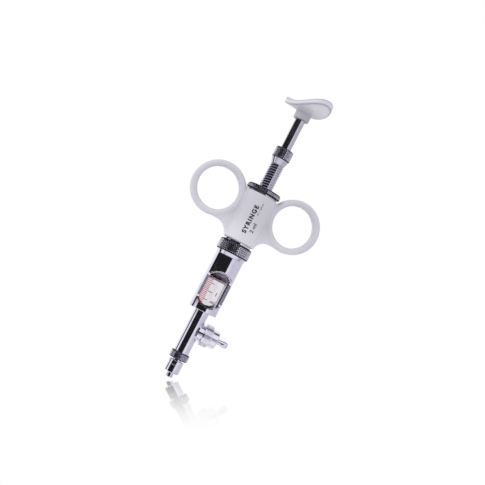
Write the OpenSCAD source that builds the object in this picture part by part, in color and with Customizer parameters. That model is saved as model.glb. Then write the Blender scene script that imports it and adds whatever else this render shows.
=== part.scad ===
// Ring-handle self-filling dosing syringe.
// Axis along +Z, Luer tip down with its end at the origin, finger rings along X, window towards -Y,
// hose nipple towards +X. Millimetres.

/* [Tip] */
// Diameter of the Luer cone at its free end
cone_tip_d = 3.96; // [3.92:0.01:4.0]
// Length of the Luer cone
cone_len = 7.5; // [7:0.1:9]
// How far the cone stands out of the lock collar
cone_proud = 2.85; // [2.1:0.05:3.2]
// Outer diameter of the lock collar
collar_d = 8.8; // [8.6:0.1:10]
// Length of the lock collar
collar_len = 7.45; // [7:0.05:9]
// Diameter of the small knurled nut
tip_nut_d = 11.2; // [10.8:0.1:14]
// Length of the small knurled nut
tip_nut_len = 4.3; // [4:0.1:7]

/* [Valve tube] */
// Diameter of the valve tube
tube_d = 8.9; // [8.6:0.1:10]
// Visible length of the valve tube
tube_len = 26.2; // [21.5:0.1:34]
// Height of the inlet above the top of the small nut
inlet_up = 14.5; // [12.6:0.1:17]
// Diameter of the liquid channel
channel_d = 2.0; // [1.6:0.1:2.3]

/* [Inlet] */
// Diameter of the round inlet boss
boss_d = 10.4; // [10:0.1:11]
// Distance from the syringe axis to the outer end of the boss
boss_x = 5.8; // [5.4:0.1:7.5]
// Diameter of the knurled part of the inlet nut
inlet_nut_d = 13.1; // [12:0.1:15]
// Length of the knurled part of the inlet nut
inlet_nut_len = 5.0; // [4.2:0.1:7]
// Diameter of the smooth nose of the inlet nut
nose_d = 11.3; // [10.8:0.1:12]
// Length of the smooth nose of the inlet nut
nose_len = 4.1; // [4:0.1:6]
// Length of the bare neck between the nose and the barb
neck_show = 2.9; // [2:0.1:5]
// Diameter of the barb
barb_d = 4.1; // [3.8:0.1:5]
// Length of the barb
barb_len = 4.1; // [3.6:0.1:6]

/* [Barrel] */
// Bore of the glass barrel
bore_d = 11.46; // [9.4:0.01:12.3]
// Wall of the glass barrel
glass_wall = 1.27; // [1.0:0.01:1.6]
// Wall of the chromed sleeve
sleeve_wall = 1.35; // [1.2:0.05:1.9]
// Visible length of the chromed sleeve
sleeve_len = 34.2; // [30:0.1:42]
// Height of the window
window_h = 22.4; // [16:0.1:24]
// Distance from the sleeve's lower end to the window
window_up = 2.5; // [2:0.1:5]
// Dose that is set
dose_ml = 1.75; // [1.4:0.05:1.9]

/* [Union] */
// Diameter of the knurled union nut
union_d = 19.7; // [19.2:0.1:24]
// Length of the knurled part of the union nut
union_len = 6.6; // [6.4:0.1:9]
// Length of the smooth rim of the union nut
rim_len = 2.0; // [1:0.1:3]
// Thickness of the ring under the handle
ring_t = 1.4; // [1:0.1:2.5]

/* [Handle] */
// Length of the handle body
handle_len = 29.9; // [25:0.1:38]
// Diameter of the handle body at its lower end
body_low_d = 18.4; // [18:0.1:22]
// Diameter of the handle body at its upper end
body_top_d = 20.4; // [18.4:0.1:25]
// Distance between the axis and a finger ring's centre
ring_x = 24.5; // [24:0.1:30]
// Height of the finger rings' centres above the handle's lower end
ring_up = 22.2; // [18.5:0.1:27]
// Diameter of a finger ring's hole
finger_d = 24.5; // [20.4:0.1:25.5]
// Width of a finger ring's band
band_w = 3.8; // [3:0.1:5]
// Depth of a finger ring's band, front to back
band_depth = 7.6; // [6:0.1:10]

/* [Dose setting] */
// Diameter of the threaded sleeve
screw_d = 8.3; // [8.2:0.05:10]
// Pitch of the dose thread
screw_pitch = 1.5; // [1.2:0.05:2]
// Threaded length that shows between lock disc and neck
screw_show = 16.0; // [13:0.1:20]
// Diameter of the lock disc
disc_d = 20.8; // [19:0.1:25]
// Thickness of the lock disc
disc_t = 3.0; // [2:0.1:4]
// Thickness of the flange under the lock disc
flange_t = 0.9; // [0.6:0.1:1.5]
// Length of the conical neck
cone_neck_len = 3.4; // [2:0.1:5]
// Diameter of the knurled head
head_d = 10.9; // [10.7:0.1:14]
// Length of the knurled head
head_len = 6.5; // [5.4:0.1:9]

/* [Plunger] */
// Diameter of the piston rod above the stop collar
rod_d = 6.1; // [5.2:0.05:6.1]
// Rod length that shows between the head and the thumb rest
rod_show = 19.2; // [18.6:0.1:26]
// Length of the piston
piston_len = 8.0; // [7:0.1:9]
// Wire diameter of the return spring
spring_wire = 0.8; // [0.6:0.05:0.9]
// Turns of the return spring
spring_turns = 7; // [5:1:7]

/* [Thumb rest] */
// Diameter of the thumb rest's collar
thumb_collar_d = 9.6; // [9:0.1:12]
// Height of the thumb rest's collar
thumb_collar_h = 5.4; // [5:0.1:8]
// Length of the saddle, tip to tip
saddle_len = 42; // [36:0.5:54]
// Width of the saddle
saddle_w = 18.5; // [16:0.5:24]
// Fullness of the saddle's tips, where 1 is an ellipse and less is fuller
saddle_fullness = 0.86; // [0.7:0.02:1]
// Thickness of the saddle
saddle_t = 3.2; // [2.5:0.1:4.5]
// Radius of the saddle's hollow
saddle_r = 50; // [40:1:120]
// Turn of the saddle about the rod at rest
saddle_turn = -72; // [-90:1:90]

/* [Hidden] */
$fn = 72;
// clearances: pieces that seat on each other, running fits, sliding seals, bare gaps
seat_gap = 0.05;
run_gap = 0.06;
seal_gap = 0.03;
face_gap = 0.1;
free_gap = 0.2;
cut = 1;

// heights, from the tip up
collar_z = cone_proud;
collar_top = collar_z + collar_len;
tip_nut_z = collar_top + 0.8;
tube_z = tip_nut_z + tip_nut_len;
sleeve_z = tube_z + tube_len;
sleeve_top = sleeve_z + sleeve_len;
union_z = sleeve_top + rim_len;
union_top = union_z + union_len;
handle_z = union_top + ring_t;
handle_top = handle_z + handle_len;
flange_top = handle_top + flange_t;
disc_z = flange_top + face_gap;
disc_top = disc_z + disc_t;
neck_z = disc_top + screw_show;
head_z = neck_z + cone_neck_len;
head_top = head_z + head_len;
thumb_z = head_top + rod_show;

// tip and outlet valve
taper = 0.06;
lip_t = 0.9;
tip_thread_r = tube_d / 2 - 0.45;
tip_neck_r = 2.8;
tip_flange_r = tip_thread_r - seat_gap;
tip_flange_z = tip_nut_z + lip_t;
tip_flange_t = 0.7;
tube_end_z = tip_flange_z + tip_flange_t;
outlet_chamber_r = 2.9;
outlet_chamber_top = tube_z + 6;
washer_t = 0.6;
poppet_t = 1.1;
poppet_r = 2.3;
valve_wire = 0.35;
valve_turns = 5;
valve_coil_r = 1.75;

// inlet
inlet_z = tube_z + inlet_up;
boss_thread_r = boss_d / 2 - 0.6;
inlet_nut_x = boss_x + free_gap;
nose_x = inlet_nut_x + inlet_nut_len;
nose_end_x = nose_x + nose_len;
end_wall = 1.1;
boss_end_x = nose_x - 1.2;
chamber_x = channel_d / 2 + 0.9;
inlet_chamber_r = 3.0;
washer_end_x = boss_end_x + washer_t;
nipple_flange_end_x = nose_end_x - end_wall;
neck_end_x = nose_end_x + neck_show;
barb_end_x = neck_end_x + barb_len;
neck_r = barb_d / 2 - 0.3;
pad_half_h = 6.1;
pad_half_w = 4.0;
pad_proud = 0.35;

// barrel
bore_r = bore_d / 2;
glass_r = bore_r + glass_wall;
sleeve_in_r = glass_r + 0.15;
sleeve_r = sleeve_in_r + sleeve_wall;
sleeve_thread_r = sleeve_in_r + 0.8;
floor_t = 1.2;
gasket_t = 0.5;
glass_z = sleeve_z + floor_t + gasket_t;
spigot_r = 3.4;
window_y = 0.4 * sleeve_r;
window_run = 4.2;

// union
nut_lip_t = 1.0;
union_flange_t = 1.2;
union_flange_z = union_top - nut_lip_t - union_flange_t;
upper_gasket_t = 0.8;
glass_top = union_flange_z - upper_gasket_t;
sleeve_end = glass_top - 0.3;
bush_neck_r = sleeve_in_r + 0.05;
bush_r = 6.7;
bush_cup_r = 5.6;
bush_floor_z = union_flange_z + 1.6;
bush_top = handle_z + 4.4;

// plunger stack
ml_len = 1000 / (PI * bore_r * bore_r);
stroke = dose_ml * ml_len;
piston_z = glass_z + 0.3 + stroke;
piston_top = piston_z + piston_len;
piston_r = bore_r - 0.12;
o_ring_r = 0.8;
o_ring_places = [2.0, piston_len - 2.0];
rod_r = rod_d / 2;
thin_rod_r = 2.6;
stud_r = 1.8;
screw_r = screw_d / 2;
screw_engage = 5.2;
screw_end_z = handle_top - screw_engage;
stop_collar_t = 1.2;
// the bush ends above the spring seat's highest place, one and a half turns of the screw up
dose_rise = 1.5 * screw_pitch;
bush_engage = screw_engage + stop_collar_t + 2 * face_gap - dose_rise - free_gap;
stop_collar_r = screw_r - 0.15;
stop_collar_z = screw_end_z - face_gap - stop_collar_t;
seat_washer_t = 1.1;
seat_washer_z = stop_collar_z - face_gap - seat_washer_t;
cavity_r = 6.0;
spring_r = bush_cup_r - 0.55 - spring_wire / 2;

// dose screw
screw_root_r = screw_r - 0.4;
screw_bore_r = rod_r + 0.2;
head_r = head_d / 2;
guide_r = rod_r + 1.2;
guide_z = head_z + 1.6;
guide_lip = 0.5;
guide_end = head_top - guide_lip;

// handle
ring_z = handle_z + ring_up;
finger_r = finger_d / 2;
ring_out_r = finger_r + band_w;
web_fillet = 7.7;
web_depth = band_depth - 1.2;
band_round = 1.7;

// solid of revolution steps on the syringe axis
module disc(r, z0, z1) {
    translate([0, 0, z0]) cylinder(r = r, h = z1 - z0);
}

module taper(r0, r1, z0, z1) {
    translate([0, 0, z0]) cylinder(r1 = r0, r2 = r1, h = z1 - z0);
}

module tube(r_out, r_in, z0, z1) {
    difference() {
        disc(r_out, z0, z1);
        disc(r_in, z0 - cut, z1 + cut);
    }
}

// a disc whose two rims are chamfered
module rimmed(r, z0, z1, chamfer) {
    taper(r - chamfer, r, z0, z0 + chamfer);
    disc(r, z0 + chamfer, z1 - chamfer);
    taper(r, r - chamfer, z1 - chamfer, z1);
}

// children drawn along +Z are laid along the inlet axis, +X
module on_inlet() {
    translate([0, 0, inlet_z]) rotate([0, 90, 0]) children();
}

// V grooves that stand for the turns of a thread, cut into a shaft of radius r
module thread_grooves(r, depth, pitch, z0, z1) {
    turns = floor((z1 - z0) / pitch);
    for (i = [0 : turns - 1])
        translate([0, 0, z0 + (i + 0.5) * pitch])
            rotate_extrude()
                polygon([[r - depth, 0], [r + 0.1, -0.42 * pitch], [r + 0.1, 0.42 * pitch]]);
}

// height of a spring's wire after t turns of n, with one closed turn at each end
function coil_height(t, n, pitch, rise) =
    t < 1 ? pitch * t : t > n - 1 ? rise - pitch * (n - t) : pitch + (rise - 2 * pitch) * (t - 1) / (n - 2);

// round-wire compression spring from z = 0 to z = len
module coil(mean_r, wire, len, turns, steps, sides) {
    rise = len - wire;
    last = turns * steps;
    points = [for (i = [0 : last]) for (j = [0 : sides - 1])
        let (a = 360 * i / steps, b = 360 * j / sides, r = mean_r + wire / 2 * cos(b))
        [r * cos(a), r * sin(a),
            wire / 2 + coil_height(i / steps, turns, 1.1 * wire, rise) + wire / 2 * sin(b)]];
    sides_list = [for (i = [0 : last - 1]) for (j = [0 : sides - 1])
        let (k = (j + 1) % sides)
        [i * sides + j, (i + 1) * sides + j, (i + 1) * sides + k, i * sides + k]];
    start_cap = [for (j = [0 : sides - 1]) j];
    end_cap = [for (j = [sides - 1 : -1 : 0]) last * sides + j];
    polyhedron(points, concat(sides_list, [start_cap, end_cap]), convexity = 10);
}

module luer_cone() {
    cone_tip_r = cone_tip_d / 2;
    cone_root_r = cone_tip_r + taper * cone_len / 2;
    color("silver") difference() {
        union() {
            taper(cone_tip_r, cone_root_r, 0, cone_len);
            disc(tip_neck_r, cone_len, tip_flange_z);
            disc(tip_flange_r, tip_flange_z, tube_end_z);
        }
        disc(channel_d / 2, -cut, tube_end_z + cut);
    }
}

module luer_collar() {
    thread_root_r = collar_d / 2 - 0.45;
    thread_crest_r = thread_root_r - 0.4;
    cavity_top = cone_len + 0.6;
    groove_z = collar_z + 0.6 * collar_len;
    color("silver") difference() {
        rimmed(collar_d / 2, collar_z, collar_top, 0.3);
        disc(thread_crest_r, collar_z - cut, cavity_top);
        for (i = [0 : 1]) disc(thread_root_r, collar_z + 0.9 + 2.5 * i, collar_z + 2.4 + 2.5 * i);
        disc(tip_neck_r + seat_gap, cavity_top - cut, collar_top + cut);
        tube(collar_d, collar_d / 2 - 0.35, groove_z, groove_z + 0.6);
    }
}

module tip_nut() {
    color("dimgray") difference() {
        rimmed(tip_nut_d / 2, tip_nut_z, tube_z, 0.35);
        disc(tip_neck_r + free_gap, tip_nut_z - cut, tube_z);
        disc(tip_thread_r + seat_gap, tip_flange_z, tube_z + cut);
    }
}

// footprint of the inlet boss on the tube: an upright slot shape
module inlet_pad() {
    rise = pad_half_h - pad_half_w;
    intersection() {
        union() {
            for (s = [-1, 1])
                translate([0, 0, inlet_z + s * rise]) rotate([0, 90, 0]) cylinder(r = pad_half_w, h = tube_d);
            translate([0, -pad_half_w, inlet_z - rise]) cube([tube_d, 2 * pad_half_w, 2 * rise]);
        }
        disc(tube_d / 2 + pad_proud, inlet_z - tube_d, inlet_z + tube_d);
    }
}

module valve_body() {
    color("silver") difference() {
        union() {
            disc(tip_thread_r, tube_end_z, tube_z);
            disc(tube_d / 2, tube_z, sleeve_z);
            disc(spigot_r, sleeve_z, sleeve_z + floor_t);
            inlet_pad();
            on_inlet() disc(boss_d / 2, 2.8, boss_x);
            on_inlet() disc(boss_thread_r, boss_x, boss_end_x);
        }
        disc(outlet_chamber_r, tube_end_z - cut, outlet_chamber_top);
        disc(channel_d / 2, outlet_chamber_top - cut, sleeve_z + floor_t + cut);
        on_inlet() disc(channel_d / 2, 0, boss_x);
        on_inlet() disc(inlet_chamber_r, chamber_x, boss_end_x + cut);
        thread_groove_z = tube_end_z + 0.1;
        thread_grooves(tip_thread_r, 0.25, 0.75, thread_groove_z, tube_z - 0.2);
    }
}

module outlet_seat() {
    color("black") tube(outlet_chamber_r - seat_gap, channel_d / 2, outlet_chamber_top - washer_t,
        outlet_chamber_top);
}

// valve disc with a spring guide on its low side and a sealing nose on its top side
module poppet(z_face, t) {
    disc(poppet_r, z_face - t, z_face);
    disc(valve_coil_r - valve_wire / 2 - 0.25, z_face - t - 0.9, z_face - t);
    taper(channel_d / 2 - 0.15, channel_d / 2 - 0.5, z_face, z_face + 0.5);
}

module outlet_valve() {
    color("whitesmoke") poppet(outlet_chamber_top - washer_t - seat_gap, poppet_t);
}

module outlet_spring() {
    low = tube_end_z + seat_gap;
    high = outlet_chamber_top - washer_t - seat_gap - poppet_t - seat_gap;
    color("silver") translate([0, 0, low]) coil(valve_coil_r, valve_wire, high - low, valve_turns, 12, 6);
}

module inlet_nut() {
    color("gainsboro") on_inlet() difference() {
        union() {
            rimmed(inlet_nut_d / 2, inlet_nut_x, nose_x, 0.35);
            disc(nose_d / 2, nose_x, nose_end_x - 0.6);
            taper(nose_d / 2, nose_d / 2 - 0.6, nose_end_x - 0.6, nose_end_x);
        }
        disc(boss_thread_r + seat_gap, inlet_nut_x - cut, nipple_flange_end_x);
        disc(barb_d / 2 + seat_gap, inlet_nut_x, nose_end_x + cut);
    }
}

module inlet_nipple() {
    nipple_bore_r = channel_d / 2 - 0.1;
    lead_len = 1.3;
    back_len = 0.9;
    tip_r = barb_d / 2 - 0.55;
    color("silver") on_inlet() difference() {
        union() {
            disc(boss_thread_r - free_gap, washer_end_x, nipple_flange_end_x);
            disc(barb_d / 2 - 0.05, nipple_flange_end_x, nose_end_x);
            disc(neck_r, nose_end_x, neck_end_x);
            taper(neck_r, barb_d / 2, neck_end_x, neck_end_x + back_len);
            disc(barb_d / 2, neck_end_x + back_len, barb_end_x - lead_len);
            taper(barb_d / 2, tip_r, barb_end_x - lead_len, barb_end_x);
        }
        disc(nipple_bore_r, washer_end_x - cut, barb_end_x + cut);
    }
}

module inlet_seat() {
    color("black") on_inlet() tube(boss_thread_r - free_gap, channel_d / 2, boss_end_x, washer_end_x);
}

module inlet_valve() {
    color("whitesmoke") on_inlet() poppet(boss_end_x - seat_gap, poppet_t);
}

module inlet_spring() {
    low = chamber_x + seat_gap;
    high = boss_end_x - seat_gap - poppet_t - seat_gap;
    color("silver") on_inlet() translate([0, 0, low])
        coil(valve_coil_r, valve_wire, high - low, valve_turns, 12, 6);
}

// scoop milled across the sleeve: flat at depth window_y, with ends that slope out to the skin
module window_cut(face) {
    far_y = sleeve_r + cut;
    spread = window_run * (far_y - window_y) / (sleeve_r - window_y) - window_run;
    translate([-far_y, 0, sleeve_z + window_up]) rotate([90, 0, 90]) linear_extrude(2 * far_y)
        polygon([
            [face * window_y, window_run],
            [face * window_y, window_h - window_run],
            [face * far_y, window_h + spread],
            [face * far_y, -spread]
        ]);
}

module barrel_sleeve() {
    color("silver") difference() {
        union() {
            disc(sleeve_r, sleeve_z, sleeve_top);
            disc(sleeve_thread_r, sleeve_top, sleeve_end);
        }
        disc(sleeve_in_r, sleeve_z + floor_t, sleeve_end + cut);
        disc(spigot_r + seat_gap, sleeve_z - cut, sleeve_end);
        for (face = [-1, 1]) window_cut(face);
        thread_grooves(sleeve_thread_r, 0.3, 1.0, sleeve_top + 0.3, sleeve_end - 0.3);
    }
}

module lower_gasket() {
    color("black") tube(glass_r, spigot_r, sleeve_z + floor_t, glass_z);
}

module glass_barrel() {
    color("azure", 0.4) tube(glass_r, bore_r, glass_z, glass_top);
}

module upper_gasket() {
    color("black") tube(sleeve_thread_r - free_gap, bore_r, glass_top, union_flange_z);
}

module coupling_nut() {
    color("dimgray") difference() {
        union() {
            disc(sleeve_r, sleeve_top + face_gap, union_z);
            rimmed(union_d / 2, union_z, union_top, 0.4);
        }
        disc(sleeve_thread_r + seat_gap, sleeve_top, union_top - nut_lip_t);
        disc(bush_neck_r + face_gap, sleeve_top, union_top + cut);
    }
}

module seat_ring() {
    color("silver") tube(sleeve_r, bush_neck_r + seat_gap, union_top + seat_gap, handle_z);
}

module handle_bush() {
    color("silver") difference() {
        union() {
            disc(sleeve_thread_r - seat_gap, union_flange_z, union_top - nut_lip_t);
            disc(bush_neck_r, union_flange_z, handle_z);
            disc(bush_r, handle_z, bush_top);
        }
        disc(thin_rod_r + 0.08, union_flange_z - cut, bush_top);
        disc(bush_cup_r, bush_floor_z, bush_top + cut);
    }
}

// rounded section of a finger ring's band, in the ring's own plane
module band_section() {
    half = band_depth / 2;
    for (x = [band_round, band_w - band_round]) for (y = [band_round - half, half - band_round])
        translate([finger_r + x, y]) circle(r = band_round);
    translate([finger_r + band_round, -half]) square([band_w - 2 * band_round, band_depth]);
    translate([finger_r, band_round - half]) square([band_w, band_depth - 2 * band_round]);
}

// web between the body and the rings, filleted into the body's lower end
module web_outline() {
    fillet_x = body_low_d / 2 + web_fillet;
    fillet_y = ring_z - ring_out_r + 0.5 - web_fillet;
    difference() {
        translate([-ring_x, handle_z]) square([2 * ring_x, ring_up]);
        for (s = [-1, 1]) {
            translate([s * fillet_x, fillet_y]) circle(r = web_fillet);
            translate([s > 0 ? fillet_x : -ring_x - cut, 0])
                square([ring_x - fillet_x + cut, fillet_y + web_fillet]);
            translate([s > 0 ? body_low_d / 2 : -ring_x - cut, 0])
                square([ring_x - body_low_d / 2 + cut, max(fillet_y, handle_z)]);
        }
    }
}

module handle() {
    socket_z = handle_top - bush_engage;
    color("white") difference() {
        union() {
            taper(body_low_d / 2, body_top_d / 2, handle_z, handle_top);
            for (s = [-1, 1]) translate([s * ring_x, 0, ring_z]) {
                rotate([90, 0, 0]) rotate_extrude() band_section();
                difference() {
                    rotate([90, 0, 0]) cylinder(r = ring_out_r - band_round, h = web_depth, center = true);
                    translate([s * ring_out_r, 0, 0]) cube([2 * ring_out_r, 2 * band_depth, 3 * ring_out_r],
                        center = true);
                }
            }
            translate([0, web_depth / 2, 0]) rotate([90, 0, 0]) linear_extrude(web_depth) web_outline();
        }
        for (s = [-1, 1]) translate([s * ring_x, 0, ring_z]) rotate([90, 0, 0]) {
            cylinder(r = finger_r, h = 2 * body_top_d, center = true);
            rotate_extrude() difference() {
                translate([0, -body_top_d]) square([finger_r + band_round, 2 * body_top_d]);
                band_section();
                translate([0, -band_depth / 2 + band_round]) square([finger_r, band_depth - 2 * band_round]);
            }
        }
        disc(bush_r + seat_gap, handle_z - cut, bush_top + face_gap);
        disc(cavity_r, handle_z, handle_top);
        disc(bush_r + seat_gap, socket_z, handle_top + cut);
    }
}

module return_spring() {
    low = bush_floor_z + seat_gap;
    high = seat_washer_z - seat_gap;
    color("silver") translate([0, 0, low]) coil(spring_r, spring_wire, high - low, spring_turns, 20, 6);
}

module spring_seat() {
    color("silver") tube(bush_cup_r - 0.3, thin_rod_r + run_gap, seat_washer_z, seat_washer_z + seat_washer_t);
}

module top_bush() {
    color("silver") difference() {
        union() {
            disc(bush_r, handle_top - bush_engage, handle_top);
            rimmed(body_top_d / 2 - 1.3, handle_top, flange_top, 0.2);
        }
        disc(screw_r + face_gap, handle_top - bush_engage - cut, flange_top + cut);
    }
}

module lock_disc() {
    color("dimgray") difference() {
        rimmed(disc_d / 2, disc_z, disc_top, 0.5);
        disc(screw_r + face_gap, disc_z - cut, disc_top + cut);
    }
}

module dose_screw() {
    neck_top_r = head_r - 0.3;
    color("silver") difference() {
        union() {
            disc(screw_r, screw_end_z, neck_z);
            taper(screw_r, neck_top_r, neck_z, head_z);
            rimmed(head_r, head_z, head_top, 0.4);
        }
        disc(screw_bore_r, screw_end_z - cut, head_top + cut);
        disc(guide_r + run_gap, guide_z, guide_end);
        thread_grooves(screw_r, screw_r - screw_root_r, screw_pitch, screw_end_z, neck_z);
    }
}

module rod_guide() {
    color("ivory") tube(guide_r, rod_r + run_gap, guide_z + face_gap, guide_end - face_gap);
}

module piston_rod() {
    rod_end = thumb_z + thumb_collar_h - 1.0;
    color("silver") {
        disc(stud_r, piston_top - 5, piston_top);
        disc(thin_rod_r, piston_top, stop_collar_z);
        disc(stop_collar_r, stop_collar_z, stop_collar_z + stop_collar_t);
        disc(rod_r, stop_collar_z + stop_collar_t, rod_end);
    }
}

module piston() {
    groove_r = bore_r - seal_gap - 2 * o_ring_r - seat_gap;
    groove_half = o_ring_r + 0.1;
    color("gray") difference() {
        rimmed(piston_r, piston_z, piston_top, 0.3);
        disc(stud_r + seat_gap, piston_top - 5 - face_gap, piston_top + cut);
        for (h = o_ring_places)
            tube(bore_r, groove_r, piston_z + h - groove_half, piston_z + h + groove_half);
    }
}

module piston_rings() {
    color("black") for (h = o_ring_places) translate([0, 0, piston_z + h])
        rotate_extrude() translate([bore_r - seal_gap - o_ring_r, 0]) circle(r = o_ring_r);
}

module thumb_rest() {
    collar_r = thumb_collar_d / 2;
    saddle_z = thumb_z + thumb_collar_h;
    half_w = saddle_w / 2;
    half_len = saddle_len / 2;
    // plan of the saddle: a rounded oval, a little fuller towards its tips than an ellipse
    oval = [for (a = [0 : 5 : 355]) [
        half_len * sign(cos(a)) * pow(abs(cos(a)), saddle_fullness),
        half_w * sign(sin(a)) * pow(abs(sin(a)), saddle_fullness)
    ]];
    color("white") difference() {
        union() {
            disc(collar_r, thumb_z, saddle_z);
            taper(collar_r, collar_r + 2.4, saddle_z, saddle_z + 1);
            rotate([0, 0, saddle_turn]) intersection() {
                translate([0, 0, saddle_z]) linear_extrude(saddle_len) polygon(oval);
                translate([0, 0, saddle_z + saddle_r]) rotate([90, 0, 0])
                    cylinder(r = saddle_r, h = 2 * saddle_w, center = true);
            }
        }
        rotate([0, 0, saddle_turn]) translate([0, 0, saddle_z + saddle_r])
            rotate([90, 0, 0]) cylinder(r = saddle_r - saddle_t, h = 3 * saddle_w, center = true);
        disc(rod_r + seat_gap, thumb_z - cut, saddle_z - 0.9);
    }
}

luer_cone();
luer_collar();
tip_nut();
valve_body();
outlet_seat();
outlet_valve();
outlet_spring();
inlet_nut();
inlet_nipple();
inlet_seat();
inlet_valve();
inlet_spring();
barrel_sleeve();
lower_gasket();
glass_barrel();
upper_gasket();
coupling_nut();
seat_ring();
handle_bush();
handle();
return_spring();
spring_seat();
top_bush();
lock_disc();
dose_screw();
rod_guide();
piston_rod();
piston();
piston_rings();
thumb_rest();
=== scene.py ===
# %% [markdown]
# # A self-filling dosing syringe, finished in Blender
# The CAD model already holds every size and every joint, so nothing here moves or resizes it.
# This lesson gives each piece its finish and the fine shape that the CAD leaves out: knurling, real
# threads, softened plastic, a printed scale, and the light of a small product studio.

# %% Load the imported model
import math

import bmesh
import bpy
from mathutils import Matrix, Vector


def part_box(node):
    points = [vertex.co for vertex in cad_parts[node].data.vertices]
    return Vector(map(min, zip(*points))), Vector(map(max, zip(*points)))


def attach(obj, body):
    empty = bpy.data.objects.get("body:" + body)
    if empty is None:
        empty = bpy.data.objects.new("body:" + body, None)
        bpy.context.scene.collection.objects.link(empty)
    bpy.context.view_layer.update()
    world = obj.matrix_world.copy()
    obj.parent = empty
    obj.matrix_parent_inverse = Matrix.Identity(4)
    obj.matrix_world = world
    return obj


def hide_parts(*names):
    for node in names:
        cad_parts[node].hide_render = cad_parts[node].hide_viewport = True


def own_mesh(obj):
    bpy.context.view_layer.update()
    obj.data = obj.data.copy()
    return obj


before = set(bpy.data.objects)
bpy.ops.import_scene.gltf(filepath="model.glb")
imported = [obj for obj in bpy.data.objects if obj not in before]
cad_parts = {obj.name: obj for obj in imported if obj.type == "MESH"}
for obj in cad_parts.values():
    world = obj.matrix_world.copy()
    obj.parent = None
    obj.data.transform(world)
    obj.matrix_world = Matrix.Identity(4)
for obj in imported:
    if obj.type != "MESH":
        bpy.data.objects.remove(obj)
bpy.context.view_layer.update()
MM = 0.001


# %% [markdown]
# ## Reading sizes from the CAD
# Most of the syringe is turned on a lathe, so three numbers place a piece: where it starts and ends
# along the axis, and its outer radius. They are read from the CAD node's box, in millimetres.

# %% Spans of the turned pieces
def span(node, axis=2):
    """Start, end and outer radius of a CAD node along an axis, in millimetres."""
    low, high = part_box(node)
    radius = (high[1] - low[1]) / 2 if axis == 0 else high[0]
    return low[axis] / MM, high[axis] / MM, radius / MM


tube_bottom, sleeve_bottom = span("tip_nut")[1], span("barrel_sleeve")[0]
BUSH_FLANGE = 0.9
handle_bottom, handle_top = span("handle")[0], span("top_bush")[1] - BUSH_FLANGE
inlet_height = sum(corner.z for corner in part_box("inlet_nut")) / 2 / MM
print("sleeve starts at", round(sleeve_bottom, 2), "and the handle spans", round(handle_bottom, 2),
      "to", round(handle_top, 2), "mm; the inlet is at", round(inlet_height, 2), "mm")


# %% [markdown]
# ## The camera
# The syringe leans in the picture and stands upright in the CAD, so the camera rolls by that lean.
# It stands half a metre away, a little to the left of the front, with a long lens.

# %% Camera
CAMERA_AZIMUTH = math.radians(-10)
CAMERA_DISTANCE = 0.520
CAMERA_HEIGHT = 0.057
LEAN = math.radians(27.217)
AIM_HEIGHT, AIM_RIGHT = 0.0868, 0.0025
HALF_FRAME, FOCAL_LENGTH = 242.5, 910.0


def link(obj):
    """Put a new object in the scene."""
    bpy.context.scene.collection.objects.link(obj)
    return obj

side = Vector((math.cos(CAMERA_AZIMUTH), math.sin(CAMERA_AZIMUTH), 0))
place = Vector((math.sin(CAMERA_AZIMUTH), -math.cos(CAMERA_AZIMUTH), 0)) * CAMERA_DISTANCE
place.z = CAMERA_HEIGHT
forward = (side * AIM_RIGHT + Vector((0, 0, AIM_HEIGHT)) - place).normalized()
level_side = forward.cross(Vector((0, 0, 1))).normalized()
level_up = level_side.cross(forward)
camera_up = level_up * math.cos(LEAN) - level_side * math.sin(LEAN)
camera_side = forward.cross(camera_up)

camera_data = bpy.data.cameras.new("Camera")
camera_data.angle = 2 * math.atan(HALF_FRAME / FOCAL_LENGTH)
camera = link(bpy.data.objects.new("Camera", camera_data))
camera.matrix_world = Matrix.Translation(place) @ Matrix(
    (camera_side, camera_up, -forward)).transposed().to_4x4()
bpy.context.scene.camera = camera
print("field of view", round(math.degrees(camera_data.angle), 1), "degrees")


# %% [markdown]
# ## Shader maths as Python
# A finish is a small graph of nodes. One class wraps a socket and overloads the operators, so a line
# such as `0.1 + grain * 0.05` adds its own Math nodes. A second one places any other node.

# %% Socket arithmetic
class Wire:
    """A node's output that can take part in sums."""

    def __init__(self, tree, socket):
        self.tree, self.socket = tree, socket

    def maths(self, operation, first, second):
        node = self.tree.nodes.new("ShaderNodeMath")
        node.operation = operation
        for socket, value in zip(node.inputs, (first, second)):
            plug(self.tree, socket, value)
        return Wire(self.tree, node.outputs[0])

    def __add__(self, other):
        return self.maths("ADD", self, other)

    def __sub__(self, other):
        return self.maths("SUBTRACT", self, other)

    def __rsub__(self, other):
        return self.maths("SUBTRACT", other, self)

    def __mul__(self, other):
        return self.maths("MULTIPLY", self, other)

    __radd__, __rmul__ = __add__, __mul__


def plug(tree, socket, value):
    """Link a Wire to a socket, or set the socket to a plain value."""
    if isinstance(value, Wire):
        tree.links.new(value.socket, socket)
    elif socket.type == "RGBA":
        socket.default_value = (*value, 1.0)
    else:
        socket.default_value = value


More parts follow.
